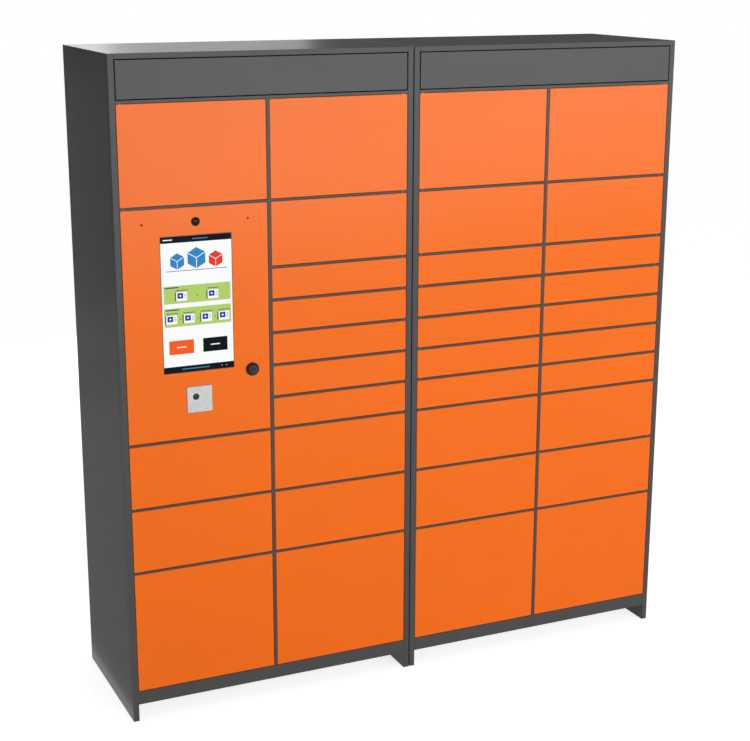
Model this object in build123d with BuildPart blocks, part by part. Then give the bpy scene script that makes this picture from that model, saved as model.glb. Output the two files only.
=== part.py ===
"""A smart parcel locker: two steel cabinets bolted side by side, with 34 parcel doors and a service door.

The origin is on the floor at the middle of the footprint. X runs to the right, Y from the doors to the back, Z up.
All sizes are in millimetres.
"""

import os
from math import cos, pi

from build123d import *

# Overall sizes
cabinet_width = 930.0
cabinet_depth = 496.0
cabinet_height = 2000.0
seam_gap = 3.0
key_lock_proud = 12.0

# Sheet steel and the gaps around the doors
sheet = 1.2
wall_thickness = 18.0
wall_corner_radius = 1.5
door_gap = 1.5
divider_thickness = 9.0
nosing_height = 6.0
nosing_depth = 20.0
post_seam_width = 2.0
post_seam_depth = 0.8

# Levels of the carcass
leg_height = 54.0
base_top = 96.5
header_floor_bottom = 1863.5
header_floor_top = 1872.0
top_rail_bottom = 1985.0
rear_hem = 15.0

# Door rows, from the top: one deep, one medium, five small, two medium, one deep
row_gap = nosing_height + 2 * door_gap
small_pitch = 99.3
small_door = small_pitch - row_gap
medium_door = 2 * small_pitch - row_gap
door_rows = [287.1, medium_door] + 5 * [small_door] + 2 * [medium_door] + [375.6]
service_first_row = 1
service_last_row = 6

# Door pans, the rods they turn on, and their strikes
pan_depth = 18.0
pan_bend = 0.8
pan_lip = 12.0
pivot_from_edge = 12.0
pivot_from_face = 5.0
rod_radius = 2.5
rod_end = 3.0
rod_clearance = 0.05
rod_hole_sides = 8
stiffener_width = 40.0
stiffener_foot = 12.0
stiffener_depth = pan_depth - 2 * sheet - 1.0
strike_reach = 24.0
strike_thickness = 2.0
strike_height = 14.0
strike_foot = (10.0, 1.5, 30.0)
strike_from_edge = 5.5
strike_window = 8.0

# Electronic locks
lock_case = (14.0, 60.0, 50.0)
lock_from_face = 24.0
lock_slot = (8.0, 24.0, 20.0)
lock_plug = (8.0, 9.0, 16.0)

# Service door fittings, from the service door's own centre line and the floor
screen_size = (217.0, 405.0)
screen_level = 1283.5
screen_glass_gap = 0.3
screen_glass_thickness = 3.0
display_rim = 12.0
display_depth = 28.0
camera_level = 1523.5
camera_bezel_radius = 13.0
camera_barrel_radius = 10.0
camera_lens_radius = 7.0
pinhole_spacing = 318.0
pinhole_radius = 2.0
reader_offset = -2.0
reader_level = 996.7
reader_plate = (78.0, 80.0)
reader_thickness = 4.0
reader_window_offset = (-12.0, 9.0)
reader_window_radius = 10.0
reader_stem_radius = 14.0
key_lock_from_edge = 55.2
key_lock_level = 1070.0
key_lock_radius = 20.0
key_barrel_radius = 9.5
key_plug_radius = 7.0
running_clearance = 0.05
cam_length = 52.0
cam_width = 18.0
cam_thickness = 2.5
cam_from_face = 30.0
cam_keeper = (12.0, 2.0, 36.0)

# Fixings and the cable inlet in the back
anchor_radius = 4.5
anchor_spacing = (800.0, 1700.0)
anchor_level = 1050.0
inlet_radius = 12.0
inlet_outer_radius = 20.0
inlet_flange_radius = 24.0
inlet_depth = 10.0
inlet_level = 940.0
vent_level = 1490.0
vent_slot = (90.0, 5.0)
vent_pitch = (120.0, 16.0)
bolt_radius = 4.0
bolt_levels = (76.0, 1925.0)
bolt_depths = (120.0, 380.0)

# Electronics behind the service door: offset from its middle, level, width, height and depth
power_supply = (-80.0, 1330.0, 199.0, 98.0, 42.0)
controller = (80.0, 1310.0, 120.0, 170.0, 32.0)
driver_board = (1090.0, 260.0, 110.0, 1.6)
board_standoff = 10.0

# Places worked out from the sizes above
face_y = -(cabinet_depth - key_lock_proud) / 2
back_y = face_y + cabinet_depth
inner_back = cabinet_depth - sheet
wall_inner = wall_thickness
door_width = (cabinet_width - 2 * wall_thickness - divider_thickness) / 2 - 2 * door_gap
row_tops = [header_floor_bottom - door_gap]
for height in door_rows[:-1]:
    row_tops.append(row_tops[-1] - height - row_gap)
cabinet_left = {
    "main": -cabinet_width - seam_gap / 2,
    "extension": seam_gap / 2,
}
column_cabinet = {"a": "main", "b": "main", "c": "extension", "d": "extension"}
door_rows_of = {
    "a": [0, 7, 8, 9],
    "b": list(range(10)),
    "c": list(range(10)),
    "d": list(range(10)),
}
shelf_rows_of = {
    "a": [0, service_last_row, 7, 8],
    "b": list(range(9)),
    "c": list(range(9)),
    "d": list(range(9)),
}


def divider_middle(cabinet):
    return cabinet_left[cabinet] + cabinet_width / 2


def column_span(column):
    """The clear width of a column, between its side wall and the divider."""
    cabinet = column_cabinet[column]
    if column in "ac":
        return (
            cabinet_left[cabinet] + wall_inner,
            divider_middle(cabinet) - divider_thickness / 2,
        )
    return (
        divider_middle(cabinet) + divider_thickness / 2,
        cabinet_left[cabinet] + cabinet_width - wall_inner,
    )


def hinge_side(column):
    """-1 where the doors hang on the left, 1 where they hang on the right."""
    return -1 if column in "ac" else 1


def door_edges(column):
    """The x of the hung edge and of the free edge of a column's doors."""
    low, high = column_span(column)
    low, high = low + door_gap, high - door_gap
    return (low, high) if hinge_side(column) < 0 else (high, low)


def pivot_x(column):
    hung, _ = door_edges(column)
    return hung - hinge_side(column) * pivot_from_edge


service_hung, service_free = door_edges("a")
service_middle = (service_hung + service_free) / 2
service_high = row_tops[service_first_row]
service_low = row_tops[service_last_row] - door_rows[service_last_row]
key_lock_x = service_free - key_lock_from_edge
reader_x = service_middle + reader_offset


def back(depth):
    """The y of a point that lies this far behind the front face."""
    return face_y + depth


def front_plane(depth):
    """An upright plane this far behind the front face, facing the front."""
    return Plane.XZ.offset(-back(depth))


def turning_plane(x, level):
    """The plane of a turned part's outline: its own X outwards, its Y towards the back."""
    return Plane((x, back(0), level), x_dir=(1, 0, 0), z_dir=(0, 0, 1))


def turning_axis(x, level):
    return Axis((x, back(0), level), (0, 1, 0))


def write(part, name):
    part.label = name
    export_step(part, f"parts/{name}.step")


def box_between(low, high, mode=Mode.ADD):
    """A block in the part being built, from its lowest to its highest corner."""
    with BuildSketch(Plane.XY.offset(low[2])) as base_face:
        with Locations(((low[0] + high[0]) / 2, (low[1] + high[1]) / 2)):
            Rectangle(high[0] - low[0], high[1] - low[1])
    extrude(base_face.sketch, amount=high[2] - low[2], mode=mode)


def folded_profile(points, left, right):
    """A folded sheet, from its outline in depth and height, running from left to right."""
    with BuildSketch(Plane.YZ.offset(left)) as outline:
        with BuildLine():
            Polyline(*[(back(depth), level) for depth, level in points], close=True)
        make_face()
    extrude(outline.sketch, amount=right - left)


def side_wall(name, left, outer):
    """A double-skinned side wall that runs down to the floor as the cabinet's leg.

    A narrow seam down its outer face parts the front post from the side panel.
    """
    with BuildPart() as wall:
        with BuildSketch():
            with Locations((left + wall_thickness / 2, back(cabinet_depth / 2))):
                RectangleRounded(wall_thickness, cabinet_depth, wall_corner_radius)
                Rectangle(
                    wall_thickness - 2 * sheet,
                    cabinet_depth - 2 * sheet,
                    mode=Mode.SUBTRACT,
                )
        extrude(amount=cabinet_height - sheet)
        box_between(
            (outer - post_seam_depth, back(wall_thickness), 0),
            (outer + post_seam_depth, back(wall_thickness + post_seam_width), cabinet_height),
            mode=Mode.SUBTRACT,
        )
        if abs(left + wall_thickness / 2) < cabinet_width / 2:
            with BuildSketch(Plane.YZ.offset(left)):
                with Locations(*[(back(d), z) for d in bolt_depths for z in bolt_levels]):
                    RegularPolygon(bolt_radius + 0.3, 8, major_radius=False)
            extrude(amount=wall_thickness, mode=Mode.SUBTRACT)
    write(wall.part, name)


def shelf_section(low, top):
    """A shelf's folded outline: floor, nosing with its return, and rear flange."""
    return [
        (0, top),
        (0, low),
        (nosing_depth, low),
        (nosing_depth, low + sheet),
        (sheet, low + sheet),
        (sheet, top - sheet),
        (inner_back - sheet, top - sheet),
        (inner_back - sheet, low),
        (inner_back, low),
        (inner_back, top),
    ]


def rod_holes(columns, low, high):
    """Holes for the hinge rods of these columns, cut between two levels."""
    with BuildSketch(Plane.XY.offset(low)) as holes:
        with Locations(*[(pivot_x(c), back(pivot_from_face)) for c in columns]):
            RegularPolygon(rod_radius + rod_clearance, rod_hole_sides, major_radius=False)
    extrude(holes.sketch, amount=high - low, mode=Mode.SUBTRACT)


def shelf(column, top):
    left, right = column_span(column)
    with BuildPart() as plate:
        folded_profile(shelf_section(top - nosing_height, top), left, right)
        rod_holes(column, top - nosing_height, top)
    return plate.part


def shelf_top(row):
    """The top of the shelf under a row of doors."""
    return row_tops[row] - door_rows[row] - door_gap


def shelves(cabinet):
    plates = [
        shelf(column, shelf_top(row))
        for column in "abcd"
        if column_cabinet[column] == cabinet
        for row in shelf_rows_of[column]
    ]
    write(Compound(children=plates), f"{cabinet}_shelves")


def header_floor(cabinet):
    """The rail and floor above the top doors, across both columns."""
    left = cabinet_left[cabinet] + wall_inner
    right = cabinet_left[cabinet] + cabinet_width - wall_inner
    columns = "ab" if cabinet == "main" else "cd"
    with BuildPart() as plate:
        folded_profile(shelf_section(header_floor_bottom, header_floor_top), left, right)
        rod_holes(columns, header_floor_bottom, header_floor_bottom + sheet)
    return plate.part


def hinge_rods():
    """One rod per column, from the base to the header floor, that all its doors turn on."""
    rods = []
    for column in "abcd":
        with BuildPart() as rod:
            with BuildSketch(Plane.XY.offset(base_top - rod_end)):
                with Locations((pivot_x(column), back(pivot_from_face))):
                    Circle(rod_radius)
            extrude(amount=header_floor_bottom - base_top + 2 * rod_end)
        rods.append(rod.part)
    write(Compound(children=rods), "hinge_rods")


def base(cabinet):
    """The plinth tray: front rail, bottom floor and folded-under edges."""
    left = cabinet_left[cabinet] + wall_inner
    right = cabinet_left[cabinet] + cabinet_width - wall_inner
    columns = "ab" if cabinet == "main" else "cd"
    with BuildPart() as tray:
        section = [
            (0, base_top),
            (0, leg_height),
            (nosing_depth, leg_height),
            (nosing_depth, leg_height + sheet),
            (sheet, leg_height + sheet),
            (sheet, base_top - sheet),
            (inner_back - sheet, base_top - sheet),
            (inner_back - sheet, leg_height + sheet),
            (inner_back - nosing_depth, leg_height + sheet),
            (inner_back - nosing_depth, leg_height),
            (inner_back, leg_height),
            (inner_back, base_top),
        ]
        folded_profile(section, left, right)
        rod_holes(columns, base_top - sheet, base_top)
    return tray.part


def divider(cabinet):
    """The hollow upright between the two columns, which carries the locks."""
    middle = divider_middle(cabinet)
    with BuildPart() as upright:
        with BuildSketch(Plane.XY.offset(base_top)):
            with Locations((middle, back(inner_back / 2))):
                Rectangle(divider_thickness, inner_back)
                Rectangle(
                    divider_thickness - 2 * sheet,
                    inner_back - 2 * sheet,
                    mode=Mode.SUBTRACT,
                )
        extrude(amount=header_floor_bottom - base_top)
    write(upright.part, f"{cabinet}_divider")


def top_panel(cabinet):
    """The top sheet, with the front rail and the rear hem folded down between the walls."""
    left = cabinet_left[cabinet]
    right = left + cabinet_width
    under = cabinet_height - sheet
    with BuildPart() as panel:
        box_between((left, face_y, under), (right, back_y, cabinet_height))
        fillet(panel.faces().sort_by(Axis.Z)[-1].edges(), sheet * 0.6)
        front_rail = [
            (0, under),
            (0, top_rail_bottom),
            (nosing_depth, top_rail_bottom),
            (nosing_depth, top_rail_bottom + sheet),
            (sheet, top_rail_bottom + sheet),
            (sheet, under),
        ]
        folded_profile(front_rail, left + wall_inner, right - wall_inner)
        rear = [
            (inner_back, under),
            (inner_back, under - rear_hem),
            (inner_back - sheet, under - rear_hem),
            (inner_back - sheet, under),
        ]
        folded_profile(rear, left + wall_inner, right - wall_inner)
    return panel.part


def fascia(cabinet):
    """The plain panel above the doors, held by four clips against the side walls."""
    gap = 3.0
    left = cabinet_left[cabinet] + wall_inner + gap
    right = cabinet_left[cabinet] + cabinet_width - wall_inner - gap
    low, high = header_floor_top + gap, top_rail_bottom - gap
    with BuildPart() as panel:
        pan_body(left, right, low, high)
        for level in (low + 25, high - 25):
            for clip in (left - gap, right):
                box_between(
                    (clip, back(8), level - 6), (clip + gap, back(16), level + 6)
                )
    return panel.part


def pan_body(left, right, low, high):
    """A folded pan: a rounded front skin, four returns and narrow lips at the back."""
    middle = ((left + right) / 2, (low + high) / 2)
    width, height = right - left, high - low
    with BuildSketch(front_plane(0)) as front:
        with Locations(middle):
            Rectangle(width, height)
    extrude(front.sketch, amount=-pan_depth)
    chamfer(faces().sort_by(Axis.Y)[0].edges(), pan_bend)
    with BuildSketch(front_plane(sheet)) as hollow:
        with Locations(middle):
            Rectangle(width - 2 * sheet, height - 2 * sheet)
    extrude(hollow.sketch, amount=-(pan_depth - 2 * sheet), mode=Mode.SUBTRACT)
    with BuildSketch(front_plane(pan_depth - sheet)) as opening:
        with Locations(middle):
            Rectangle(width - 2 * pan_lip, height - 2 * pan_lip)
    extrude(opening.sketch, amount=-sheet, mode=Mode.SUBTRACT)


def stiffener(middle_x, low, high):
    """A top-hat channel spot-welded behind the skin, from return to return."""
    half = stiffener_width / 2
    foot = stiffener_foot
    skin, crown = sheet, sheet + stiffener_depth
    outline = [
        (-half - foot, skin),
        (-half, skin),
        (-half, crown - sheet),
        (half, crown - sheet),
        (half, skin),
        (half + foot, skin),
        (half + foot, skin + sheet),
        (half + sheet, skin + sheet),
        (half + sheet, crown),
        (-half - sheet, crown),
        (-half - sheet, skin + sheet),
        (-half - foot, skin + sheet),
    ]
    with BuildPart() as hat:
        with BuildSketch(Plane.XY.offset(low + sheet)):
            with BuildLine():
                Polyline(*[(middle_x + x, back(y)) for x, y in outline], close=True)
            make_face()
        extrude(amount=high - low - 2 * sheet)
    return hat.part


def strike(column, level):
    """The tongue that enters the lock, with the window that the latch catches."""
    _, free = door_edges(column)
    inward = hinge_side(column)
    x = free + inward * strike_from_edge
    foot_x, foot_y, foot_z = strike_foot
    tongue_end = pan_depth + strike_reach
    with BuildPart() as tongue:
        box_between(
            (x - foot_x / 2, back(pan_depth), level - foot_z / 2),
            (x + foot_x / 2, back(pan_depth + foot_y), level + foot_z / 2),
        )
        box_between(
            (x - strike_thickness / 2, back(pan_depth + foot_y), level - strike_height / 2),
            (x + strike_thickness / 2, back(tongue_end), level + strike_height / 2),
        )
        box_between(
            (x - strike_thickness, back(tongue_end - 4 - strike_window), level - strike_window / 2),
            (x + strike_thickness, back(tongue_end - 4), level + strike_window / 2),
            mode=Mode.SUBTRACT,
        )
    return tongue.part


def parcel_door(column, row):
    hung, free = door_edges(column)
    left, right = min(hung, free), max(hung, free)
    high = row_tops[row]
    low = high - door_rows[row]
    with BuildPart() as pan:
        pan_body(left, right, low, high)
        rod_holes(column, low, high)
    pieces = [pan.part, strike(column, (low + high) / 2)]
    if door_rows[row] > medium_door:
        pieces.append(stiffener((left + right) / 2, low, high))
    number = door_rows_of[column].index(row) + 1
    write(Compound(children=pieces), f"door_{column}{number}")


def electronic_lock(column, level):
    """A lock case on the divider, with the slot that a strike enters and its cable plug."""
    low, high = column_span(column)
    inward = -hinge_side(column)
    face = high if inward > 0 else low
    width, depth, height = lock_case
    middle = face - inward * width / 2
    plug_width, plug_depth, plug_height = lock_plug
    slot_width, slot_depth, slot_height = lock_slot
    slot_middle = face - inward * (door_gap + strike_from_edge)
    end = lock_from_face + depth
    with BuildPart() as case:
        box_between(
            (middle - width / 2, back(lock_from_face), level - height / 2),
            (middle + width / 2, back(end), level + height / 2),
        )
        chamfer(case.faces().sort_by(Axis.Y)[0].edges(), 1.0)
        box_between(
            (middle - plug_width / 2, back(end), level - plug_height / 2),
            (middle + plug_width / 2, back(end + plug_depth), level + plug_height / 2),
        )
        box_between(
            (slot_middle - slot_width / 2, back(lock_from_face), level - slot_height / 2),
            (slot_middle + slot_width / 2, back(lock_from_face + slot_depth), level + slot_height / 2),
            mode=Mode.SUBTRACT,
        )
    return case.part


def electronic_locks():
    cases = [
        electronic_lock(column, row_tops[row] - door_rows[row] / 2)
        for column in "abcd"
        for row in door_rows_of[column]
    ]
    write(Compound(children=cases + [cam_keeper_tab()]), "electronic_locks")


def cam_keeper_tab():
    """The tab welded to the main divider that the key lock's cam turns in behind."""
    reach, thickness, height = cam_keeper
    _, face = column_span("a")
    end = cam_from_face - 1.0
    with BuildPart() as keeper:
        box_between(
            (face - reach, back(end - thickness), key_lock_level - height / 2),
            (face, back(end), key_lock_level + height / 2),
        )
    return keeper.part


def back_panel(cabinet):
    """The back sheet, with wall anchor holes, and vents and a cable inlet on the main cabinet."""
    left = cabinet_left[cabinet] + wall_inner
    right = cabinet_left[cabinet] + cabinet_width - wall_inner
    with BuildPart() as panel:
        box_between(
            (left, back(inner_back), leg_height), (right, back_y, cabinet_height - sheet)
        )
        with BuildSketch(front_plane(inner_back)):
            with Locations((divider_middle(cabinet), anchor_level)):
                with GridLocations(*anchor_spacing, 2, 2):
                    Circle(anchor_radius)
            if cabinet == "main":
                with Locations((service_middle, inlet_level)):
                    Circle(inlet_outer_radius + 0.1)
                with Locations((service_middle, vent_level)):
                    with GridLocations(vent_pitch[0], vent_pitch[1], 2, 4):
                        Rectangle(vent_slot[0], vent_slot[1])
        extrude(amount=-sheet, mode=Mode.SUBTRACT)
    write(panel.part, f"{cabinet}_back_panel")


def cable_grommet():
    """A rubber sleeve in the back panel that the mains and network leads pass through."""
    with BuildPart() as sleeve:
        with BuildSketch(front_plane(cabinet_depth)):
            with Locations((service_middle, inlet_level)):
                Circle(inlet_outer_radius)
        extrude(amount=inlet_depth)
        with BuildSketch(front_plane(inner_back)):
            with Locations((service_middle, inlet_level)):
                Circle(inlet_flange_radius)
        extrude(amount=1.5)
        with BuildSketch(front_plane(cabinet_depth)):
            with Locations((service_middle, inlet_level)):
                Circle(inlet_radius)
        extrude(amount=inlet_depth, mode=Mode.SUBTRACT)
    write(sleeve.part, "cable_grommet")


def joining_bolts():
    """Four bolts that hold the cabinets together, each with its nut and the spacer in the seam."""
    head, across_flats, spacer = 5.0, 6.5, 9.0
    inner = seam_gap / 2 + wall_thickness
    pieces = []
    for depth in bolt_depths:
        for level in bolt_levels:
            place = (back(depth), level)
            with BuildPart() as bolt:
                for start, length, radius, sides in (
                    (-inner - head, head, across_flats, 6),
                    (-inner, 2 * inner, bolt_radius * cos(pi / 8), 8),
                    (-seam_gap / 2, seam_gap, spacer, 8),
                    (inner, head, across_flats, 6),
                ):
                    with BuildSketch(Plane.YZ.offset(start)):
                        with Locations(place):
                            RegularPolygon(radius, sides, major_radius=False)
                    extrude(amount=length)
            pieces.append(bolt.part)
    write(Compound(children=pieces), "joining_bolts")


def service_door():
    """The tall door with the openings for the screen, camera, reader and key lock."""
    with BuildPart() as pan:
        pan_body(service_hung, service_free, service_low, service_high)
        rod_holes("a", service_low, service_high)
        with BuildSketch(front_plane(0)):
            with Locations((service_middle, screen_level)):
                Rectangle(*screen_size)
            with Locations((service_middle, camera_level)):
                Circle(camera_barrel_radius + 0.2)
                with GridLocations(pinhole_spacing, 0, 2, 1):
                    Circle(pinhole_radius)
            with Locations((reader_x, reader_level)):
                Circle(reader_stem_radius + 0.2)
            with Locations((key_lock_x, key_lock_level)):
                Circle(key_barrel_radius + 0.2)
        extrude(amount=-sheet, mode=Mode.SUBTRACT)
    write(pan.part, "service_door")


def display():
    """The touchscreen glass and the housing behind it."""
    width, height = screen_size
    seat = sheet + screen_glass_thickness - 0.9
    with BuildPart() as housing:
        with BuildSketch(front_plane(sheet)):
            with Locations((service_middle, screen_level)):
                RectangleRounded(width + 2 * display_rim, height + 2 * display_rim, 4)
        extrude(amount=-display_depth)
        chamfer(housing.faces().sort_by(Axis.Y)[-1].edges(), 3)
        with BuildSketch(front_plane(sheet)):
            with Locations((service_middle, screen_level)):
                Rectangle(width, height)
        extrude(amount=-(seat - sheet), mode=Mode.SUBTRACT)
    write(housing.part, "display_housing")
    with BuildPart() as glass:
        with BuildSketch(front_plane(seat)):
            with Locations((service_middle, screen_level)):
                Rectangle(width - 2 * screen_glass_gap, height - 2 * screen_glass_gap)
        extrude(amount=screen_glass_thickness)
        chamfer(glass.faces().sort_by(Axis.Y)[0].edges(), 0.4)
    write(glass.part, "screen_glass")


def camera():
    """The camera's bezel and barrel, and its domed lens."""
    section = turning_plane(service_middle, camera_level)
    axis = turning_axis(service_middle, camera_level)
    lens_seat = 1.0
    with BuildPart() as barrel:
        with BuildSketch(section):
            with BuildLine():
                Polyline(
                    (0, lens_seat),
                    (camera_lens_radius, lens_seat),
                    (camera_lens_radius + 1.5, -1.6),
                    (camera_bezel_radius - 1.2, -2.4),
                    (camera_bezel_radius, -1.2),
                    (camera_bezel_radius, 0),
                    (camera_barrel_radius, 0),
                    (camera_barrel_radius, 24),
                    (0, 24),
                    close=True,
                )
            make_face()
        revolve(axis=axis)
    with BuildPart() as lens:
        with BuildSketch(section):
            with BuildLine():
                Polyline(
                    (camera_lens_radius, lens_seat),
                    (0, lens_seat),
                    (0, -1.4),
                    (camera_lens_radius * 0.5, -1.0),
                    (camera_lens_radius, lens_seat),
                )
            make_face()
        revolve(axis=axis)
    write(Compound(children=[barrel.part, lens.part]), "camera")


def reader():
    """The card and code reader: a bevelled plate with a stem behind and a round window."""
    window_x = reader_x + reader_window_offset[0]
    window_level = reader_level + reader_window_offset[1]
    window_depth = 2.5
    with BuildPart() as plate:
        with BuildSketch(front_plane(0)):
            with Locations((reader_x, reader_level)):
                RectangleRounded(*reader_plate, 3)
        extrude(amount=reader_thickness)
        chamfer(plate.faces().sort_by(Axis.Y)[0].edges(), 1.5)
        with BuildSketch(front_plane(0)):
            with Locations((reader_x, reader_level)):
                Circle(reader_stem_radius)
        extrude(amount=-15)
        with BuildSketch(front_plane(-reader_thickness)):
            with Locations((window_x, window_level)):
                Circle(reader_window_radius)
        extrude(amount=-window_depth, mode=Mode.SUBTRACT)
    with BuildPart() as window:
        with BuildSketch(front_plane(-reader_thickness + window_depth)):
            with Locations((window_x, window_level)):
                Circle(reader_window_radius - 0.1)
        extrude(amount=window_depth - 0.8)
    write(Compound(children=[plate.part, window.part]), "reader")


def key_lock():
    """The key lock: a domed rose with a threaded barrel and nut, and the plug that turns the cam."""
    section = turning_plane(key_lock_x, key_lock_level)
    axis = turning_axis(key_lock_x, key_lock_level)
    bore = key_plug_radius + running_clearance
    nose = -key_lock_proud
    nut_start, nut_end = sheet, sheet + 6.0
    barrel_end = cam_from_face - 1.0
    with BuildPart() as rose:
        with BuildSketch(section):
            with BuildLine():
                Polyline(
                    (bore, nose + 1.0),
                    (key_plug_radius + 6, nose + 1.0),
                    (key_lock_radius - 2.0, nose + 4.0),
                    (key_lock_radius, -4.0),
                    (key_lock_radius, 0),
                    (key_barrel_radius, 0),
                    (key_barrel_radius, barrel_end),
                    (bore, barrel_end),
                    (bore, nose + 1.0),
                )
            make_face()
        revolve(axis=axis)
    with BuildPart() as nut:
        with BuildSketch(front_plane(nut_start)):
            with Locations((key_lock_x, key_lock_level)):
                RegularPolygon(13, 6, major_radius=False)
                Circle(key_barrel_radius, mode=Mode.SUBTRACT)
        extrude(amount=-(nut_end - nut_start))
    write(Compound(children=[rose.part, nut.part]), "key_lock_body")
    with BuildPart() as plug:
        with BuildSketch(front_plane(nose)):
            with Locations((key_lock_x, key_lock_level)):
                Circle(key_plug_radius)
        extrude(amount=-(cam_from_face - nose))
        with BuildSketch(front_plane(nose)):
            with Locations((key_lock_x, key_lock_level)):
                Rectangle(1.8, 9)
        extrude(amount=-3, mode=Mode.SUBTRACT)
    with BuildPart() as cam:
        with BuildSketch(front_plane(cam_from_face)):
            with Locations((key_lock_x, key_lock_level + (cam_length - cam_width / 2) / 2)):
                SlotCenterToCenter(cam_length - cam_width / 2, cam_width, rotation=90)
        extrude(amount=-cam_thickness)
        with BuildSketch(front_plane(cam_from_face + cam_thickness)):
            with Locations((key_lock_x, key_lock_level)):
                RegularPolygon(6, 6, major_radius=False)
        extrude(amount=-4)
    write(Compound(children=[plug.part, cam.part]), "key_lock_cam")


def control_electronics():
    """Power supply, controller and lock driver board on the back panel behind the service door."""
    rear = inner_back
    units = []
    for x_offset, level, width, height, depth in (power_supply, controller):
        x = service_middle + x_offset
        with BuildPart() as unit:
            box_between(
                (x - width / 2, back(rear - depth), level - height / 2),
                (x + width / 2, back(rear), level + height / 2),
            )
            chamfer(unit.faces().sort_by(Axis.Y)[0].edges(), 2)
            with BuildSketch(front_plane(rear - depth)):
                with Locations((x, level + height / 4)):
                    with GridLocations(0, 8, 1, 3):
                        Rectangle(width * 0.6, 3)
            extrude(amount=-2, mode=Mode.SUBTRACT)
        units.append(unit.part)
    board_level, board_width, board_height, board = driver_board
    with BuildPart() as driver:
        with BuildSketch(front_plane(rear)):
            with Locations((service_middle, board_level)):
                with GridLocations(board_width - 16, board_height - 16, 2, 2):
                    RegularPolygon(4, 6)
        extrude(amount=board_standoff)
        with BuildSketch(front_plane(rear - board_standoff)):
            with Locations((service_middle, board_level)):
                Rectangle(board_width, board_height)
        extrude(amount=board)
        with BuildSketch(front_plane(rear - board_standoff - board)):
            with Locations((service_middle, board_level)):
                with GridLocations(78, board_height - 30, 3, 2):
                    Rectangle(66, 12)
        extrude(amount=9)
    units.append(driver.part)
    write(Compound(children=units), "control_electronics")


def main():
    os.makedirs("parts", exist_ok=True)
    for cabinet in ("main", "extension"):
        left = cabinet_left[cabinet]
        right = left + cabinet_width
        side_wall(f"{cabinet}_side_wall_left", left, left)
        side_wall(f"{cabinet}_side_wall_right", right - wall_thickness, right)
        divider(cabinet)
        shelves(cabinet)
        back_panel(cabinet)
    both = ("main", "extension")
    write(Compound(children=[base(c) for c in both]), "bases")
    write(Compound(children=[header_floor(c) for c in both]), "header_floors")
    write(Compound(children=[top_panel(c) for c in both]), "top_panels")
    write(Compound(children=[fascia(c) for c in both]), "fascia_panels")
    hinge_rods()
    electronic_locks()
    for column in "abcd":
        for row in door_rows_of[column]:
            parcel_door(column, row)
    service_door()
    display()
    camera()
    reader()
    key_lock()
    control_electronics()
    cable_grommet()
    joining_bolts()


main()
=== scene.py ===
"""The looks of the parcel locker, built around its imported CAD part.

Lengths are in metres, in the part's own frame: x to the right, y from the doors to the back, z up.
"""

import math

import bpy
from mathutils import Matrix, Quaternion, Vector


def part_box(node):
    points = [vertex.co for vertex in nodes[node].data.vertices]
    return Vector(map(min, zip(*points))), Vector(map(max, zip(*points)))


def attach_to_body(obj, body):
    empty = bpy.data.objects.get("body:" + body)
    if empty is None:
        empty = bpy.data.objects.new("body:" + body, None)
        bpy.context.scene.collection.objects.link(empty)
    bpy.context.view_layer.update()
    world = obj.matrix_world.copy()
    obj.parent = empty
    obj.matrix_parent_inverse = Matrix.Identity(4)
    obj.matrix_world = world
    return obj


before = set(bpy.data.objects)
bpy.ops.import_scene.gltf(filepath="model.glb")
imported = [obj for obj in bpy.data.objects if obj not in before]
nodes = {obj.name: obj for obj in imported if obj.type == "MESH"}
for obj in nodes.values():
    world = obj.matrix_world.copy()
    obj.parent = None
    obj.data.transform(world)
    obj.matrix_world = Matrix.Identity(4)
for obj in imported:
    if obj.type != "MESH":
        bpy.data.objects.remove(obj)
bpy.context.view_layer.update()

# The camera, solved from the edges of the cabinets and doors in the photograph
CAMERA_LENS = 74.55
CAMERA_FROM_FACE = Vector((-2.0692, -4.2110, 2.2542))
CAMERA_DIRECTION = Vector((0.4050, 0.8775, -0.2570))
CAMERA_ROLL = math.radians(0.14)

# Colours, as linear light
DOOR_ORANGE = (0.82, 0.142, 0.005)
CARCASS_GREY = (0.062, 0.064, 0.065)
FASCIA_GREY = (0.068, 0.069, 0.070)
ZINC = (0.48, 0.49, 0.50)
STEEL = (0.37, 0.38, 0.38)
BLACK = (0.012, 0.012, 0.013)
DEEP_BLACK = (0.004, 0.004, 0.0045)
CASE_GREY = (0.30, 0.31, 0.32)
RUBBER_BLACK = (0.02, 0.02, 0.02)
WINDOW_SMOKE = (0.02, 0.02, 0.021)
# Painted shade for the two pinholes: orange darkened towards brown
PINHOLE_SHADE_BROWN = (0.12, 0.022, 0.006)
COLLAR_GREY = (0.05, 0.05, 0.055)
SCREEN_WHITE = (0.96, 0.97, 0.98)
SCREEN_GREEN = (0.44, 0.63, 0.15)
SCREEN_BLUE = (0.03, 0.03, 0.42)
SCREEN_INK = (0.05, 0.07, 0.16)
SCREEN_ORANGE = (0.95, 0.11, 0.012)
SCREEN_BLACK = (0.006, 0.008, 0.010)
SCREEN_SLATE = (0.08, 0.22, 0.42)
SCREEN_SKY = (0.03, 0.24, 0.55)
SCREEN_RED = (0.75, 0.05, 0.02)
SCREEN_OLIVE = (0.11, 0.19, 0.03)

# The studio
FLOOR_TONE = 0.6
FLOOR_GLOW = 0.75
STUDIO_LIGHT = 0.40

front_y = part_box("main_side_wall_left")[0].y


# Materials


def new_group(name, inputs, outputs):
    """A shared node group, with the named input and output sockets."""
    group = bpy.data.node_groups.new(name, "ShaderNodeTree")
    for label, kind, value in inputs:
        group.interface.new_socket(label, in_out="INPUT", socket_type=kind).default_value = value
    for label, kind in outputs:
        group.interface.new_socket(label, in_out="OUTPUT", socket_type=kind)
    return group


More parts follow.
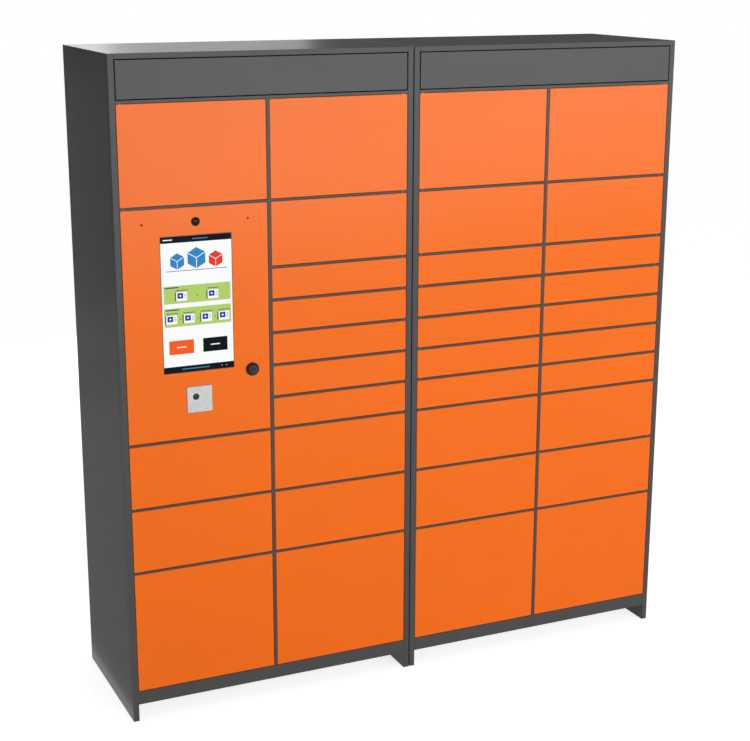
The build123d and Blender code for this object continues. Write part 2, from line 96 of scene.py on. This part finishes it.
def add_node(tree, kind, values=None, links=None):
    """A node with its inputs set to values, or linked from other nodes' sockets."""
    node = tree.nodes.new(kind)
    for key, value in (values or {}).items():
        node.inputs[key].default_value = value
    for key, socket in (links or {}).items():
        tree.links.new(socket, node.inputs[key])
    return node


def multiply_add(tree, value, factor, offset):
    """The socket of value times factor, plus offset."""
    node = tree.nodes.new("ShaderNodeMath")
    node.operation = "MULTIPLY_ADD"
    tree.links.new(value, node.inputs[0])
    node.inputs[1].default_value = factor
    node.inputs[2].default_value = offset
    return node.outputs[0]


def close_group(group, **sockets):
    out = group.nodes.new("NodeGroupOutput")
    for label, socket in sockets.items():
        group.links.new(socket, out.inputs[label])
    return group


SURFACE_SOCKETS = [
    ("Tone", "NodeSocketColor"),
    ("Gloss", "NodeSocketFloat"),
    ("Relief", "NodeSocketVector"),
]


def powder_coat_group():
    """Satin powder coat: fine orange peel, faint clouds in the tone, and uneven gloss."""
    group = new_group(
        "Powder coat",
        [
            ("Colour", "NodeSocketColor", (0.5, 0.5, 0.5, 1)),
            ("Roughness", "NodeSocketFloat", 0.45),
            ("Peel", "NodeSocketFloat", 0.08),
        ],
        SURFACE_SOCKETS,
    )
    take = group.nodes.new("NodeGroupInput").outputs
    place = group.nodes.new("ShaderNodeTexCoord").outputs["Object"]
    peel = add_node(group, "ShaderNodeTexNoise", {"Scale": 420.0, "Detail": 2.0}, {"Vector": place})
    clouds = add_node(group, "ShaderNodeTexNoise", {"Scale": 3.5, "Detail": 3.0}, {"Vector": place})
    smears = add_node(group, "ShaderNodeTexNoise", {"Scale": 14.0, "Detail": 5.0}, {"Vector": place})
    shade = add_node(
        group,
        "ShaderNodeMapRange",
        {"From Min": 0.3, "From Max": 0.7, "To Min": 0.985, "To Max": 1.015},
        {"Value": clouds.outputs[0]},
    )
    tone = add_node(
        group,
        "ShaderNodeHueSaturation",
        {},
        {"Value": shade.outputs[0], "Color": take["Colour"]},
    )
    wander = multiply_add(group, smears.outputs[0], 0.08, -0.04)
    rough = group.nodes.new("ShaderNodeMath")
    group.links.new(wander, rough.inputs[0])
    group.links.new(take["Roughness"], rough.inputs[1])
    bump = add_node(
        group,
        "ShaderNodeBump",
        {"Distance": 0.0002},
        {"Strength": take["Peel"], "Height": peel.outputs[0]},
    )
    return close_group(
        group, Tone=tone.outputs[0], Gloss=rough.outputs[0], Relief=bump.outputs[0]
    )


def brushed_metal_group():
    """Bare or plated metal: fine brushing along one axis and faint blotches."""
    group = new_group(
        "Brushed metal",
        [
            ("Colour", "NodeSocketColor", (0.5, 0.5, 0.5, 1)),
            ("Roughness", "NodeSocketFloat", 0.3),
            ("Brushing", "NodeSocketVector", (20.0, 20.0, 900.0)),
        ],
        SURFACE_SOCKETS,
    )
    take = group.nodes.new("NodeGroupInput").outputs
    place = group.nodes.new("ShaderNodeTexCoord").outputs["Object"]
    stretch = add_node(
        group, "ShaderNodeMapping", {}, {"Vector": place, "Scale": take["Brushing"]}
    )
    brush = add_node(
        group, "ShaderNodeTexNoise", {"Scale": 1.0, "Detail": 4.0}, {"Vector": stretch.outputs[0]}
    )
    blotch = add_node(group, "ShaderNodeTexNoise", {"Scale": 30.0, "Detail": 3.0}, {"Vector": place})
    shade = add_node(
        group,
        "ShaderNodeMapRange",
        {"From Min": 0.3, "From Max": 0.7, "To Min": 0.94, "To Max": 1.05},
        {"Value": blotch.outputs[0]},
    )
    tone = add_node(
        group, "ShaderNodeHueSaturation", {}, {"Value": shade.outputs[0], "Color": take["Colour"]}
    )
    wander = multiply_add(group, brush.outputs[0], 0.16, -0.08)
    rough = group.nodes.new("ShaderNodeMath")
    group.links.new(wander, rough.inputs[0])
    group.links.new(take["Roughness"], rough.inputs[1])
    bump = add_node(
        group, "ShaderNodeBump", {"Distance": 0.0001, "Strength": 0.15}, {"Height": brush.outputs[0]}
    )
    return close_group(
        group, Tone=tone.outputs[0], Gloss=rough.outputs[0], Relief=bump.outputs[0]
    )


powder_coat = powder_coat_group()
brushed_metal = brushed_metal_group()


def new_material(name, colour):
    """An empty material with this colour in the viewport."""
    material = bpy.data.materials.new(name)
    material.use_nodes = True
    material.node_tree.nodes.clear()
    material.diffuse_color = (*colour, 1)
    return material


def finish_material(material, values, links=None):
    """The material's one shader, with plain values on its own sockets."""
    tree = material.node_tree
    surface = add_node(tree, "ShaderNodeBsdfPrincipled", values, links)
    out = tree.nodes.new("ShaderNodeOutputMaterial")
    tree.links.new(surface.outputs[0], out.inputs["Surface"])
    return material


def from_group(name, group, colour, values, **inputs):
    """A material whose tone, gloss and relief come from a shared group."""
    material = new_material(name, colour)
    use = material.node_tree.nodes.new("ShaderNodeGroup")
    use.node_tree = group
    use.inputs["Colour"].default_value = (*colour, 1)
    for label, value in inputs.items():
        use.inputs[label].default_value = value
    links = {
        "Base Color": use.outputs["Tone"],
        "Roughness": use.outputs["Gloss"],
        "Normal": use.outputs["Relief"],
    }
    return finish_material(material, values, links)


def painted(name, colour, roughness, specular, peel):
    """Sheet metal under powder coat."""
    return from_group(
        name, powder_coat, colour, {"Specular IOR Level": specular}, Roughness=roughness, Peel=peel
    )


def metal(name, colour, roughness, brushing):
    """Bare metal. Brushing is the fineness of its grain along each axis."""
    return from_group(
        name, brushed_metal, colour, {"Metallic": 1.0}, Roughness=roughness, Brushing=brushing
    )


def moulded(name, colour, roughness, grain=0.1, coat=0.0, specular=0.3):
    """Moulded plastic or rubber with a fine grain in its surface."""
    material = new_material(name, colour)
    tree = material.node_tree
    place = tree.nodes.new("ShaderNodeTexCoord").outputs["Object"]
    grit = add_node(tree, "ShaderNodeTexNoise", {"Scale": 900.0, "Detail": 3.0}, {"Vector": place})
    bump = add_node(
        tree, "ShaderNodeBump", {"Strength": grain, "Distance": 0.0002}, {"Height": grit.outputs[0]}
    )
    rough = multiply_add(tree, grit.outputs[0], 0.1, roughness - 0.05)
    return finish_material(
        material,
        {
            "Base Color": (*colour, 1),
            "Specular IOR Level": specular,
            "Coat Weight": coat,
            "Coat Roughness": 0.05,
        },
        {"Roughness": rough, "Normal": bump.outputs[0]},
    )


def lit(name, colour):
    """A lit area of the screen: its own light behind a faint gloss."""
    return finish_material(
        new_material(name, colour),
        {
            "Base Color": (0.0, 0.0, 0.0, 1),
            "Roughness": 0.25,
            "Specular IOR Level": 0.02,
            "Emission Color": (*colour, 1),
            "Emission Strength": 1.0,
        },
    )


door_paint = painted("Door paint", DOOR_ORANGE, roughness=0.24, specular=0.17, peel=0.04)
carcass_paint = painted("Carcass paint", CARCASS_GREY, roughness=0.30, specular=0.14, peel=0.06)
fascia_paint = painted("Fascia paint", FASCIA_GREY, roughness=0.30, specular=0.14, peel=0.06)
zinc = metal("Zinc plate", ZINC, roughness=0.42, brushing=(60, 60, 60))
steel = metal("Brushed steel", STEEL, roughness=0.20, brushing=(900, 20, 20))
electronics = metal("Electronics case", CASE_GREY, roughness=0.45, brushing=(20, 20, 600))
black_plastic = moulded("Black plastic", BLACK, roughness=0.5)
black_gloss = moulded("Black gloss", BLACK, roughness=0.12, grain=0.0, coat=0.5)
camera_black = moulded("Camera black", DEEP_BLACK, roughness=0.3, grain=0.05, specular=0.08)
lens_glass = moulded("Lens glass", DEEP_BLACK, roughness=0.08, grain=0.0, specular=0.12)
lock_black = moulded("Lock black", BLACK, roughness=0.33, grain=0.05, specular=0.15)
rubber = moulded("Rubber", RUBBER_BLACK, roughness=0.75, grain=0.3)
window_black = moulded("Window black", WINDOW_SMOKE, roughness=0.3, grain=0.0, specular=0.2)
# Painted shade of the pinholes, on discs laid over the holes
pinhole_shade_paint = moulded("Pinhole painted shade", PINHOLE_SHADE_BROWN, roughness=0.5, grain=0.05, specular=0.1)
collar_metal = metal("Blackened collar", COLLAR_GREY, roughness=0.30, brushing=(60, 60, 60))

NODE_MATERIALS = {
    "electronic_locks": zinc,
    "control_electronics": electronics,
    "cable_grommet": rubber,
    "joining_bolts": zinc,
    "hinge_rods": zinc,
    "fascia_panels": fascia_paint,
    "display_housing": black_plastic,
    "screen_glass": black_gloss,
    "camera": camera_black,
    "reader": steel,
    "key_lock_body": lock_black,
    "key_lock_cam": lock_black,
}


def paint(piece, *materials):
    """Gives the piece these materials alone."""
    piece.data.materials.clear()
    for material in materials:
        piece.data.materials.append(material)


for name, node in nodes.items():
    if name in NODE_MATERIALS:
        paint(node, NODE_MATERIALS[name])
    elif name.startswith("door_") or name == "service_door":
        paint(node, door_paint)
    else:
        paint(node, carcass_paint)


def name_piece(piece, name):
    piece.name = name
    piece.data.name = name


def attach(piece, body):
    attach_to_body(piece, body)


# The picture on the screen

FACING_FRONT = (math.radians(90), 0, 0)


def begin_piece(name, *materials):
    """An empty mesh at the origin, left in edit mode for its shapes to be added."""
    bpy.ops.object.select_all(action="DESELECT")
    bpy.ops.mesh.primitive_plane_add(size=1)
    piece = bpy.context.object
    name_piece(piece, name)
    paint(piece, *materials)
    bpy.ops.object.mode_set(mode="EDIT")
    bpy.ops.mesh.select_all(action="SELECT")
    bpy.ops.mesh.delete(type="VERT")
    return piece


def set_material(piece, material):
    """Gives the selected faces, which were added last, one of the piece's materials."""
    piece.active_material_index = list(piece.data.materials).index(material)
    bpy.ops.object.material_slot_assign()
    bpy.ops.mesh.select_all(action="DESELECT")


def add_tile(piece, x, z, width, height, y, material, corner=0.0):
    """A flat rectangle that faces the front, with rounded corners if asked."""
    bpy.ops.mesh.primitive_plane_add(
        size=1, location=(x, y, z), rotation=FACING_FRONT
    )
    bpy.ops.transform.resize(value=(width, 1, height))
    if corner:
        bpy.ops.mesh.bevel(offset=corner, segments=4, affect="VERTICES")
    set_material(piece, material)


def add_disc(piece, x, z, radius, y, material, sides=24):
    """A flat disc or regular polygon that faces the front."""
    bpy.ops.mesh.primitive_circle_add(
        vertices=sides,
        radius=radius,
        fill_type="NGON",
        location=(x, y, z),
        rotation=FACING_FRONT,
    )
    set_material(piece, material)


HEXAGON = 6
TRIANGLE = 3
SCREEN_RIM = 0.0015
LAYER = 0.00006
glass_low, glass_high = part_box("screen_glass")
screen_x = (glass_low.x + glass_high.x) / 2
screen_z = (glass_low.z + glass_high.z) / 2
screen_width = glass_high.x - glass_low.x
screen_height = glass_high.z - glass_low.z
picture_y = glass_low.y - LAYER

picture_white = lit("Picture white", SCREEN_WHITE)
picture_green = lit("Picture green", SCREEN_GREEN)
picture_blue = lit("Picture blue", SCREEN_BLUE)
picture_ink = lit("Picture ink", SCREEN_INK)
picture_orange = lit("Picture orange", SCREEN_ORANGE)
picture_black = lit("Picture black", SCREEN_BLACK)
picture_slate = lit("Picture slate", SCREEN_SLATE)
picture_sky = lit("Picture sky blue", SCREEN_SKY)
picture_red = lit("Picture red", SCREEN_RED)
picture_olive = lit("Picture olive", SCREEN_OLIVE)


def from_top(distance):
    """The z of a line this far below the top edge of the screen."""
    return screen_z + screen_height / 2 - distance


def add_step_icon(piece, x, z, size):
    """A white card with a blue square, a tab and three short lines, in shares of its height."""
    y = picture_y - 2 * LAYER
    square_x = x - size * 0.16
    square_z = z + size * 0.08
    add_tile(piece, x, z, size * 1.25, size, y, picture_white, size * 0.06)
    add_tile(piece, x - size * 0.72, z, size * 0.16, size * 0.98, y, picture_olive)
    add_tile(piece, square_x, square_z, size * 0.66, size * 0.62, y - LAYER, picture_blue)
    add_disc(piece, square_x, square_z, size * 0.12, y - 2 * LAYER, picture_white, HEXAGON)
    for line in range(3):
        line_z = z + size * (0.25 - 0.2 * line)
        add_tile(
            piece, x + size * 0.42, line_z, size * 0.22, size * 0.06, y - LAYER, picture_ink
        )


def add_parcel_icon(piece, x, z, size, shade):
    """A plain box seen on its corner: a hexagon with three white edges."""
    y = picture_y - 2 * LAYER
    add_disc(piece, x, z, size, y, shade, HEXAGON)
    add_tile(piece, x, z - size * 0.46, size * 0.07, size * 0.96, y - LAYER, picture_white)
    for side in (-1, 1):
        place = (x + side * size * 0.42, y - LAYER, z + size * 0.24)
        bpy.ops.mesh.primitive_plane_add(
            size=1, location=place, rotation=FACING_FRONT
        )
        bpy.ops.transform.resize(value=(size * 0.96, 1, size * 0.07))
        bpy.ops.transform.rotate(
            value=side * math.radians(30), orient_axis="Y", center_override=place
        )
        set_material(piece, picture_white)


# Each icon's place across from the middle, its size and its colour
PARCEL_ICONS = (
    (-0.058, 0.024, picture_sky),
    (0.0, 0.031, picture_sky),
    (0.058, 0.024, picture_red),
)
PARCEL_FOOT = 0.098
RULE_DOWN = 0.102
RULE_SHARE = 0.86
THIN_LINE = 0.0022

# Each mark in the two end bars: its place across from the middle, its length and its colour
END_BAR = 0.0185
MARK_HEIGHT = 0.003
TOP_MARKS = (
    (-0.085, 0.028, picture_white),
    (0.012, 0.046, picture_slate),
)
LOW_MARKS = ((-0.01, 0.085, picture_slate),)
LOW_DOTS = (0.070, 0.084)
DOT_RADIUS = 0.0025

# Each green band: its distance down, its height, its number of cards and their pitch
BAND_MARGIN = 0.011
BANDS = (
    (0.171, 0.052, 2, 0.095),
    (0.238, 0.055, 4, 0.053),
)
TITLE_FROM_LEFT = 0.024
TITLE_FROM_TOP = 0.005
TITLE_LENGTH = 0.042
TITLE_HEIGHT = 0.0035
CARD_HEIGHT = 0.026
CARD_DROP = 0.006
CAPTION_RISE = 0.012
CAPTION_LENGTH = 0.036
ARROW_RADIUS = 0.0028

# Each button's place across from the middle and its colour
BUTTONS = (
    (-0.052, picture_orange),
    (0.051, picture_black),
)
BUTTON_DOWN = 0.3275
BUTTON_WIDTH = 0.075
BUTTON_HEIGHT = 0.0415
BUTTON_MARK_LENGTH = 0.029
BUTTON_MARK_HEIGHT = 0.0032
BUTTON_MARK_CORNER = 0.0015


def add_end_bars(piece, width):
    """The dark bars along the top and bottom of the screen, with their short marks."""
    y = picture_y - LAYER
    top_bar = from_top(END_BAR / 2 + SCREEN_RIM)
    low_bar = from_top(screen_height - END_BAR / 2 - SCREEN_RIM)
    for z in (top_bar, low_bar):
        add_tile(piece, screen_x, z, width, END_BAR, y, picture_black)
    for z, marks in ((top_bar, TOP_MARKS), (low_bar, LOW_MARKS)):
        for offset, length, shade in marks:
            add_tile(piece, screen_x + offset, z, length, MARK_HEIGHT, y - LAYER, shade)
    for offset in LOW_DOTS:
        add_disc(piece, screen_x + offset, low_bar, DOT_RADIUS, y - LAYER, picture_slate)


def add_parcels(piece, width):
    """Three plain parcels over a thin line."""
    for offset, size, shade in PARCEL_ICONS:
        add_parcel_icon(piece, screen_x + offset, from_top(PARCEL_FOOT) + size, size, shade)
    rule_y = picture_y - LAYER
    rule_width = width * RULE_SHARE
    add_tile(piece, screen_x, from_top(RULE_DOWN), rule_width, THIN_LINE, rule_y, picture_slate)


def add_bands(piece, width):
    """The two green bands, each with a title and a row of cards with arrows between them."""
    y = picture_y - LAYER
    band_width = width - BAND_MARGIN
    title_x = screen_x - band_width / 2 + TITLE_FROM_LEFT
    for distance, band_height, count, pitch in BANDS:
        z = from_top(distance)
        title_z = z + band_height / 2 - TITLE_FROM_TOP
        add_tile(piece, screen_x, z, band_width, band_height, y, picture_green)
        add_tile(piece, title_x, title_z, TITLE_LENGTH, TITLE_HEIGHT, y - LAYER, picture_ink)
        for index in range(count):
            x = screen_x + (index - (count - 1) / 2) * pitch
            caption_z = z + CAPTION_RISE
            add_step_icon(piece, x, z - CARD_DROP, CARD_HEIGHT)
            add_tile(piece, x, caption_z, CAPTION_LENGTH, THIN_LINE, y - LAYER, picture_ink)
            if index:
                arrow_x = x - pitch / 2
                add_disc(
                    piece, arrow_x, z - CARD_DROP, ARROW_RADIUS, y - LAYER, picture_ink, TRIANGLE
                )


def add_buttons(piece):
    """The two buttons at the foot of the screen, each with a short white mark."""
    y = picture_y - LAYER
    z = from_top(BUTTON_DOWN)
    for offset, shade in BUTTONS:
        x = screen_x + offset
        add_tile(piece, x, z, BUTTON_WIDTH, BUTTON_HEIGHT, y, shade)
        add_tile(
            piece,
            x,
            z,
            BUTTON_MARK_LENGTH,
            BUTTON_MARK_HEIGHT,
            y - LAYER,
            picture_white,
            BUTTON_MARK_CORNER,
        )


def screen_picture():
    """The whole picture, one piece that lies on the screen's glass."""
    piece = begin_piece(
        "screen_picture",
        picture_white,
        picture_green,
        picture_blue,
        picture_ink,
        picture_orange,
        picture_black,
        picture_slate,
        picture_sky,
        picture_red,
        picture_olive,
    )
    width = screen_width - 2 * SCREEN_RIM
    height = screen_height - 2 * SCREEN_RIM
    add_tile(piece, screen_x, screen_z, width, height, picture_y, picture_white)
    add_end_bars(piece, width)
    add_parcels(piece, width)
    add_bands(piece, width)
    add_buttons(piece)
    bpy.ops.object.mode_set(mode="OBJECT")
    attach(piece, "service_door")


screen_picture()

# Small round fittings


def select_cap(piece, facing):
    """Opens the piece for editing with its flat end towards the front or the back selected."""
    bpy.ops.object.mode_set(mode="EDIT")
    bpy.ops.mesh.select_mode(type="FACE")
    bpy.ops.mesh.select_all(action="DESELECT")
    bpy.ops.object.mode_set(mode="OBJECT")
    for face in piece.data.polygons:
        face.select = face.normal.y * facing > 0.999
    bpy.ops.object.mode_set(mode="EDIT")


def round_fitting(name, places, radius, thickness, facing, material, edge, steps=(), sides=24):
    """Round heads, pads or lenses, made once at the first place and copied to the others.

    A place is the middle of the seat. Facing is -1 towards the front and 1 towards the back.
    Edge is the width of the rounding. Each step goes in from the rim by its first number, and
    up, or down if negative, by its second.
    """
    bpy.ops.object.select_all(action="DESELECT")
    bpy.ops.mesh.primitive_cylinder_add(
        vertices=sides,
        radius=radius,
        depth=thickness,
        location=places[0] + Vector((0, facing * thickness / 2, 0)),
        rotation=FACING_FRONT,
    )
    piece = bpy.context.object
    bpy.ops.object.transform_apply(location=True, rotation=True, scale=True)
    name_piece(piece, name)
    paint(piece, material)
    select_cap(piece, facing)
    bpy.ops.mesh.bevel(offset=edge, segments=4, affect="EDGES")
    select_cap(piece, facing)
    for inwards, upwards in steps:
        bpy.ops.mesh.inset(thickness=inwards, depth=upwards)
    bpy.ops.mesh.select_all(action="SELECT")
    for here, there in zip(places, places[1:]):
        bpy.ops.mesh.duplicate()
        bpy.ops.transform.translate(value=there - here)
    bpy.ops.object.mode_set(mode="OBJECT")
    bpy.ops.object.shade_smooth_by_angle(angle=math.radians(35))
    return piece


FRONT = -1
BACK = 1
DOME = ((0.0016, 0.0006), (0.0016, 0.0004), (0.0016, 0.0002))

# Seats, measured from the boxes of the pieces that carry them
GLASS_DEPTH = 0.0026
WINDOW_DEPTH = 0.0012
WINDOW_LEFT = 0.012
WINDOW_UP = 0.009
LAMP_DEPTH = 0.0002
LAMP_FROM_RIGHT = 0.020
LAMP_FROM_BOTTOM = 0.010
PINHOLE_FROM_CAMERA = 0.159
COLLAR_DEPTH = 0.0011
LOCK_FRONT = front_y + 0.024
LOCK_FROM_FREE_EDGE = 0.0055
BUFFER_FROM_MIDDLE = 0.020
RIVET_INSET = 0.010
RIVET_ROWS = 12


def camera_glass():
    """The glass dome in front of the camera's lens, in its bezel."""
    low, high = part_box("camera")
    seat = Vector(((low.x + high.x) / 2, low.y + GLASS_DEPTH, (low.z + high.z) / 2))
    glass = round_fitting(
        "camera_glass",
        [seat],
        radius=0.0076,
        thickness=0.0012,
        facing=FRONT,
        material=lens_glass,
        edge=0.0004,
        steps=DOME,
        sides=48,
    )
    attach(glass, "service_door")


def reader_window():
    """The dark round window in the reader's plate."""
    low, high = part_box("reader")
    seat_x = (low.x + high.x) / 2 - WINDOW_LEFT
    seat_z = (low.z + high.z) / 2 + WINDOW_UP
    window = round_fitting(
        "reader_window",
        [Vector((seat_x, low.y + WINDOW_DEPTH, seat_z))],
        radius=0.0098,
        thickness=0.0010,
        facing=FRONT,
        material=window_black,
        edge=0.0005,
        steps=((0.0022, -0.0003), (0.0020, 0.0004), (0.0015, 0.0002)),
        sides=48,
    )
    attach(window, "service_door")


def reader_lamp():
    """The small lamp at the lower corner of the reader's plate."""
    low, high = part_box("reader")
    seat = Vector((high.x - LAMP_FROM_RIGHT, low.y + LAMP_DEPTH, low.z + LAMP_FROM_BOTTOM))
    lamp = round_fitting(
        "reader_lamp",
        [seat],
        radius=0.0013,
        thickness=0.0004,
        facing=FRONT,
        material=window_black,
        edge=0.0002,
        steps=((0.0004, 0.0001),),
        sides=16,
    )
    attach(lamp, "service_door")


def pinhole_shade_discs():
    """Dark brown discs over the two pinholes beside the camera, with a recessed middle: painted
    shade standing in for the shade inside the holes.
    """
    low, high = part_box("camera")
    places = [
        Vector(((low.x + high.x) / 2 + side * PINHOLE_FROM_CAMERA, front_y, (low.z + high.z) / 2))
        for side in (-1, 1)
    ]
    # Each disc covers its hole and carries the hole's painted shade
    shade_discs = round_fitting(
        "pinhole_shade_discs",
        places,
        radius=0.0031,
        thickness=0.0002,
        facing=FRONT,
        material=pinhole_shade_paint,
        edge=0.0001,
        steps=((0.0009, 0.0), (0.0003, -0.0002)),
        sides=24,
    )
    attach(shade_discs, "service_door")


def key_lock_collar():
    """The turned ring around the key plug."""
    plug_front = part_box("key_lock_cam")[0].y
    low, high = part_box("key_lock_body")
    seat = Vector(((low.x + high.x) / 2, plug_front + COLLAR_DEPTH, (low.z + high.z) / 2))
    ring = round_fitting(
        "key_lock_collar",
        [seat],
        radius=0.0110,
        thickness=0.0011,
        facing=FRONT,
        material=collar_metal,
        edge=0.0005,
        steps=((0.0012, 0.0), (0.0006, -0.0006), (0.0015, -0.0006)),
        sides=48,
    )
    attach(ring, "service_door")


def door_buffers():
    """Two rubber pads on the front of each lock case, which the closed door rests against."""
    places = []
    for name in sorted(nodes):
        if not name.startswith("door_"):
            continue
        low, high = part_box(name)
        column = name[len("door_")]
        free_x = high.x - LOCK_FROM_FREE_EDGE if column in "ac" else low.x + LOCK_FROM_FREE_EDGE
        for side in (-1, 1):
            level = (low.z + high.z) / 2 + side * BUFFER_FROM_MIDDLE
            places.append(Vector((free_x, LOCK_FRONT, level)))
    pads = round_fitting(
        "door_buffers",
        places,
        radius=0.0035,
        thickness=0.0052,
        facing=FRONT,
        material=rubber,
        edge=0.0010,
        steps=((0.0010, 0.0003),),
        sides=16,
    )
    attach(pads, "carcass")


def back_rivets(cabinet):
    """Domed rivets along the edges and the middle of a back panel."""
    low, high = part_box(f"{cabinet}_back_panel")
    columns = (low.x + RIVET_INSET, (low.x + high.x) / 2, high.x - RIVET_INSET)
    pitch = (high.z - low.z - 2 * RIVET_INSET) / (RIVET_ROWS - 1)
    places = [
        Vector((x, high.y, low.z + RIVET_INSET + pitch * row))
        for x in columns
        for row in range(RIVET_ROWS)
    ]
    rivets = round_fitting(
        f"{cabinet}_back_rivets",
        places,
        radius=0.0038,
        thickness=0.0003,
        facing=BACK,
        material=zinc,
        edge=0.0002,
        steps=((0.0009, 0.0001), (0.0009, 0.0001)),
        sides=16,
    )
    attach(rivets, "carcass")


camera_glass()
reader_window()
reader_lamp()
pinhole_shade_discs()
key_lock_collar()
door_buffers()
for cabinet in ("main", "extension"):
    back_rivets(cabinet)

# The camera, the floor and the lights


def set_up_camera():
    """The camera, placed from the plane of the doors."""
    data = bpy.data.cameras.new("Camera")
    data.sensor_width = 36
    data.lens = CAMERA_LENS
    data.clip_end = 100
    camera = bpy.data.objects.new("Camera", data)
    bpy.context.scene.collection.objects.link(camera)
    camera.location = CAMERA_FROM_FACE + Vector((0, front_y, 0))
    camera.rotation_mode = "QUATERNION"
    level = CAMERA_DIRECTION.to_track_quat("-Z", "Y")
    camera.rotation_quaternion = level @ Quaternion((0, 0, 1), CAMERA_ROLL)
    bpy.context.scene.camera = camera


def area_light(name, place, target, width, height, power, tilt=0.0):
    """A soft rectangular lamp aimed at a point, turned about its own axis by a tilt in degrees."""
    data = bpy.data.lights.new(name, "AREA")
    data.shape = "RECTANGLE"
    data.size = width
    data.size_y = height
    data.energy = power
    light = bpy.data.objects.new(name, data)
    bpy.context.scene.collection.objects.link(light)
    light.location = place
    light.rotation_mode = "QUATERNION"
    aim = (Vector(target) - Vector(place)).to_track_quat("-Z", "Y")
    light.rotation_quaternion = aim @ Quaternion((0, 0, 1), math.radians(tilt))


def flag_cloth(name, glow):
    """A matt studio card that shows one tone in a reflection."""
    return finish_material(
        new_material(name, BLACK),
        {
            "Base Color": (*BLACK, 1),
            "Roughness": 0.9,
            "Emission Color": (1, 1, 1, 1),
            "Emission Strength": glow,
        },
    )


def seen_directly(tree):
    """1 for what the camera, a mirror or glass shows, and 0 for light that falls on the object."""
    path = tree.nodes.new("ShaderNodeLightPath")
    seen = path.outputs["Is Camera Ray"]
    for kind in ("Is Glossy Ray", "Is Transmission Ray"):
        either = tree.nodes.new("ShaderNodeMath")
        either.operation = "MAXIMUM"
        tree.links.new(seen, either.inputs[0])
        tree.links.new(path.outputs[kind], either.inputs[1])
        seen = either.outputs[0]
    return seen


def dark_flag(name, place, size, glow, flat=False):
    """A black to grey card that shows in reflections alone, standing up or lying flat."""
    bpy.ops.object.select_all(action="DESELECT")
    bpy.ops.mesh.primitive_plane_add(size=1, location=place)
    flag = bpy.context.object
    flag.scale = (*size, 1)
    flag.rotation_euler = (0, 0, 0) if flat else FACING_FRONT
    bpy.ops.object.transform_apply(location=True, rotation=True, scale=True)
    name_piece(flag, name)
    flag.visible_camera = False
    flag.visible_diffuse = False
    flag.visible_shadow = False
    paint(flag, flag_cloth(name, glow))


def set_up_floor():
    """A wide pale floor that shows white to the camera and keeps a soft shadow."""
    bpy.ops.object.select_all(action="DESELECT")
    bpy.ops.mesh.primitive_plane_add(size=60)
    floor = bpy.context.object
    name_piece(floor, "floor")
    material = new_material("Studio floor", (0.9, 0.9, 0.9))
    tree = material.node_tree
    place = tree.nodes.new("ShaderNodeTexCoord").outputs["Object"]
    clouds = add_node(tree, "ShaderNodeTexNoise", {"Scale": 1.2, "Detail": 4.0}, {"Vector": place})
    shade = add_node(
        tree,
        "ShaderNodeMapRange",
        {"To Min": FLOOR_TONE - 0.01, "To Max": FLOOR_TONE + 0.01},
        {"Value": clouds.outputs[0]},
    )
    glow = multiply_add(tree, seen_directly(tree), FLOOR_GLOW, 0.0)
    finish_material(
        material,
        {"Roughness": 0.9, "Specular IOR Level": 0.0, "Emission Color": (1, 1, 1, 1)},
        {"Base Color": shade.outputs[0], "Emission Strength": glow},
    )
    paint(floor, material)


def set_up_world():
    """A grey studio for the light on the object, with a white backdrop for the camera."""
    world = bpy.data.worlds.new("Studio")
    bpy.context.scene.world = world
    world.use_nodes = True
    tree = world.node_tree
    strength = multiply_add(tree, seen_directly(tree), 1.0 - STUDIO_LIGHT, STUDIO_LIGHT)
    tree.links.new(strength, tree.nodes["Background"].inputs["Strength"])
    tree.nodes["Background"].inputs["Color"].default_value = (1, 1, 1, 1)


set_up_camera()
set_up_floor()
set_up_world()
area_light(
    "Front card",
    place=(2.4, front_y - 4.6, 1.74),
    target=(2.2, front_y, 1.5),
    width=5.2,
    height=2.2,
    power=167,
    tilt=7,
)
area_light(
    "Left fill",
    place=(-1.8, front_y - 4.8, 1.6),
    target=(-0.8, front_y, 1.2),
    width=2.4,
    height=2.4,
    power=63,
)
area_light(
    "Side fill",
    place=(-2.6, 0.1, 0.2),
    target=(-0.93, 0.0, 0.25),
    width=1.4,
    height=0.4,
    power=2.5,
)
area_light(
    "Top card",
    place=(-0.7, 3.1, 3.0),
    target=(-0.9, 0.0, 2.0),
    width=1.4,
    height=1.2,
    power=12,
)
area_light(
    "Back fill",
    place=(0.4, 4.8, 0.9),
    target=(0.0, 0.25, 1.1),
    width=3.2,
    height=1.4,
    power=60,
)
dark_flag("flag_behind", place=(3.7, 3.0, 3.2), size=(5.4, 2.6), glow=0.08)
dark_flag("flag_left_high", place=(-2.6, 3.4, 1.55), size=(2.8, 2.1), glow=0.0)
dark_flag("flag_left_low", place=(-2.6, 3.4, 0.25), size=(2.8, 0.5), glow=0.25)
dark_flag("flag_low", place=(-2.65, 2.0, 0.01), size=(3.4, 4.6), glow=0.32, flat=True)

bpy.context.scene.view_settings.view_transform = "Standard"
